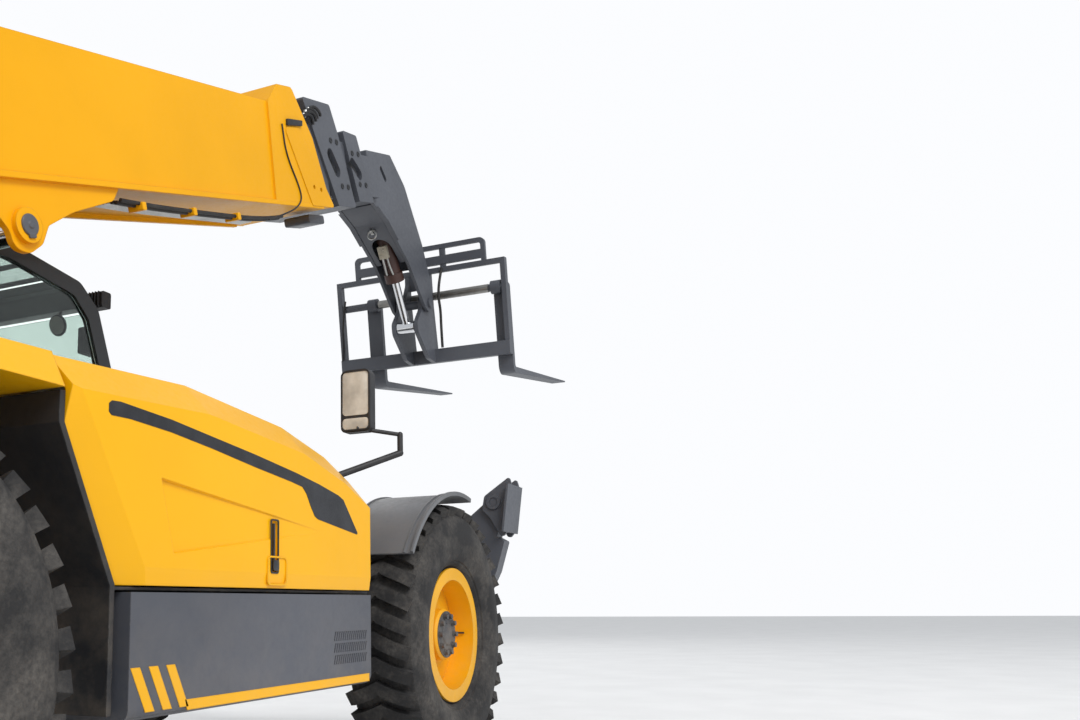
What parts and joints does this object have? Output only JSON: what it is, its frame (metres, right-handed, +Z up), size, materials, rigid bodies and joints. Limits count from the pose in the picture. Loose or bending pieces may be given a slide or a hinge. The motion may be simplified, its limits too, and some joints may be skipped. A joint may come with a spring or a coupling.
{
  "type": "telehandler",
  "caption": "Rough-terrain telehandler with a raised four-section telescopic boom, fork carriage, side cab, side engine pod and front stabilisers.",
  "frame": {"origin": "on the ground at the middle of the machine's length and width, boom raised as stored", "axes": "+X forward, +Y to the driver's left, +Z up"},
  "size_m": [9.323, 2.54, 4.2055],
  "materials": {
    "body_yellow": "semi-gloss paint",
    "boom_yellow": "semi-gloss paint",
    "steel_grey": "satin paint",
    "frame_black": "satin paint",
    "axle_grey": "painted casting",
    "rod_chrome": "polished",
    "tyre": "dusty rubber",
    "tinted_glass": "tinted",
    "seat_fabric": "woven",
    "black_plastic": "moulded"
  },
  "bodies": {
    "chassis": {"chassis_frame": "frame_black", "frame_plate_right": "frame_black", "frame_plate_left": "frame_black", "engine_block": "frame_black", "pod_bulkhead": "frame_black", "rear_quarter_right": "body_yellow", "rear_quarter_left": "body_yellow", "skirt_right": "steel_grey", "skirt_left": "steel_grey", "drive_line": "axle_grey", "work_lamp": "black_plastic", "side_tank": "frame_black", "counterweight": "frame_black", "cab_frame": "frame_black", "cab_glass": "tinted_glass", "seat": "seat_fabric", "console": "black_plastic", "mirror": "black_plastic", "front_axle": "axle_grey", "rear_axle": "axle_grey"},
    "hood": {"hood": "body_yellow"},
    "door": {"cab_door": "frame_black", "door_glass": "tinted_glass"},
    "boom": {"boom_outer": "boom_yellow", "extend_barrel": "rod_chrome"},
    "stage_2": {"boom_stage_2": "steel_grey", "extend_rod": "rod_chrome"},
    "stage_3": {"boom_stage_3": "steel_grey"},
    "head": {"boom_head": "steel_grey"},
    "lift_barrel": {"lift_barrel": "steel_grey"},
    "lift_rod": {"lift_rod": "rod_chrome"},
    "tilt_barrel": {"tilt_barrel": "steel_grey"},
    "tilt_rod": {"tilt_rod": "rod_chrome"},
    "carriage": {"carriage_frame": "steel_grey", "fork_left": "steel_grey", "fork_right": "steel_grey"},
    "knuckle_front_left": {"knuckle_front_left": "axle_grey", "fender_left": "steel_grey"},
    "wheel_front_left": {"rim_front_left": "body_yellow", "tyre_front_left": "tyre"},
    "knuckle_front_right": {"knuckle_front_right": "axle_grey", "fender_right": "steel_grey"},
    "wheel_front_right": {"rim_front_right": "body_yellow", "tyre_front_right": "tyre"},
    "knuckle_rear_left": {"knuckle_rear_left": "axle_grey"},
    "wheel_rear_left": {"rim_rear_left": "body_yellow", "tyre_rear_left": "tyre"},
    "knuckle_rear_right": {"knuckle_rear_right": "axle_grey"},
    "wheel_rear_right": {"rim_rear_right": "body_yellow", "tyre_rear_right": "tyre"},
    "stabiliser_left": {"stabiliser_arm_left": "steel_grey"},
    "pad_left": {"stabiliser_pad_left": "steel_grey"},
    "stabiliser_right": {"stabiliser_arm_right": "steel_grey"},
    "pad_right": {"stabiliser_pad_right": "steel_grey"}
  },
  "joints": [
    {"name": "boom_lift", "type": "hinge", "parent": "chassis", "child": "boom", "pos_m": [-4.0216, 0, 2.047], "axis": [0, -1, 0], "range_deg": [-21, 52]},
    {"name": "boom_extend", "type": "slide", "parent": "boom", "child": "stage_2", "axis": [0.9527, 0, 0.304], "range_m": [0, 3]},
    {"name": "stage_3_extend", "type": "slide", "parent": "stage_2", "child": "stage_3", "axis": [0.9527, 0, 0.304], "range_m": [0, 3]},
    {"name": "head_extend", "type": "slide", "parent": "stage_3", "child": "head", "axis": [0.9527, 0, 0.304], "range_m": [0, 3]},
    {"name": "carriage_tilt", "type": "hinge", "parent": "head", "child": "carriage", "pos_m": [2.80593, 0, 3.24973], "axis": [0, -1, 0], "range_deg": [-75, 25]},
    {"name": "lift_barrel_swing", "type": "hinge", "parent": "chassis", "child": "lift_barrel", "pos_m": [-3.6216, 0, 0.947], "axis": [0, -1, 0], "range_deg": [-17.49, 42.56]},
    {"name": "lift_rod_slide", "type": "slide", "parent": "lift_barrel", "child": "lift_rod", "axis": [0.8267, 0, 0.5627], "range_m": [-0.3795, 0.9324]},
    {"name": "tilt_barrel_swing", "type": "hinge", "parent": "head", "child": "tilt_barrel", "pos_m": [2.13891, 0, 3.86297], "axis": [0, -1, 0], "range_deg": [-2.16, 1.05]},
    {"name": "tilt_rod_slide", "type": "slide", "parent": "tilt_barrel", "child": "tilt_rod", "axis": [0.5665, 0, -0.8241], "range_m": [-0.2738, 0.0933]},
    {"name": "steer_front_left", "type": "hinge", "parent": "chassis", "child": "knuckle_front_left", "pos_m": [0.5284, 0.83, 0.68], "axis": [0, 0, 1], "range_deg": [-38, 38]},
    {"name": "roll_front_left", "type": "hinge", "parent": "knuckle_front_left", "child": "wheel_front_left", "pos_m": [0.5284, 1.0825, 0.68], "axis": [0, 1, 0], "continuous": true},
    {"name": "steer_front_right", "type": "hinge", "parent": "chassis", "child": "knuckle_front_right", "pos_m": [0.5284, -0.83, 0.68], "axis": [0, 0, 1], "range_deg": [-38, 38]},
    {"name": "roll_front_right", "type": "hinge", "parent": "knuckle_front_right", "child": "wheel_front_right", "pos_m": [0.5284, -1.0825, 0.68], "axis": [0, 1, 0], "continuous": true},
    {"name": "steer_rear_left", "type": "hinge", "parent": "chassis", "child": "knuckle_rear_left", "pos_m": [-2.9516, 0.83, 0.68], "axis": [0, 0, 1], "range_deg": [-38, 38]},
    {"name": "roll_rear_left", "type": "hinge", "parent": "knuckle_rear_left", "child": "wheel_rear_left", "pos_m": [-2.9516, 1.0825, 0.68], "axis": [0, 1, 0], "continuous": true},
    {"name": "steer_rear_right", "type": "hinge", "parent": "chassis", "child": "knuckle_rear_right", "pos_m": [-2.9516, -0.83, 0.68], "axis": [0, 0, 1], "range_deg": [-38, 38]},
    {"name": "roll_rear_right", "type": "hinge", "parent": "knuckle_rear_right", "child": "wheel_rear_right", "pos_m": [-2.9516, -1.0825, 0.68], "axis": [0, 1, 0], "continuous": true},
    {"name": "hood_open", "type": "hinge", "parent": "chassis", "child": "hood", "pos_m": [-1.2716, -0.45, 1.626], "axis": [-1, 0, 0], "range_deg": [0, 55]},
    {"name": "door_open", "type": "hinge", "parent": "chassis", "child": "door", "pos_m": [-1.5516, 1.214, 1.7], "axis": [0, 0, 1], "range_deg": [0, 90]},
    {"name": "stabiliser_left_swing", "type": "hinge", "parent": "chassis", "child": "stabiliser_left", "pos_m": [1.4784, 0.56, 0.64], "axis": [-1, 0, 0], "range_deg": [0, 84]},
    {"name": "pad_left_tilt", "type": "hinge", "parent": "stabiliser_left", "child": "pad_left", "pos_m": [1.4784, 1.15, 1.455], "axis": [-1, 0, 0], "range_deg": [-15, 15]},
    {"name": "stabiliser_right_swing", "type": "hinge", "parent": "chassis", "child": "stabiliser_right", "pos_m": [1.4784, -0.56, 0.64], "axis": [1, 0, 0], "range_deg": [0, 84]},
    {"name": "pad_right_tilt", "type": "hinge", "parent": "stabiliser_right", "child": "pad_right", "pos_m": [1.4784, -1.15, 1.455], "axis": [1, 0, 0], "range_deg": [-15, 15]}
  ],
  "couplings": [
    {"joint": "stage_3_extend", "follows": "boom_extend", "ratio": 1},
    {"joint": "head_extend", "follows": "boom_extend", "ratio": 1},
    {"joint": "lift_barrel_swing", "follows": "boom_lift", "ratio": 0.8089},
    {"joint": "lift_rod_slide", "follows": "boom_lift", "m_per_rad": 1.0219},
    {"joint": "tilt_barrel_swing", "follows": "carriage_tilt", "ratio": 0.0221},
    {"joint": "tilt_rod_slide", "follows": "carriage_tilt", "m_per_rad": 0.2069},
    {"joint": "steer_front_right", "follows": "steer_front_left", "ratio": 1},
    {"joint": "steer_rear_right", "follows": "steer_rear_left", "ratio": 1}
  ]
}
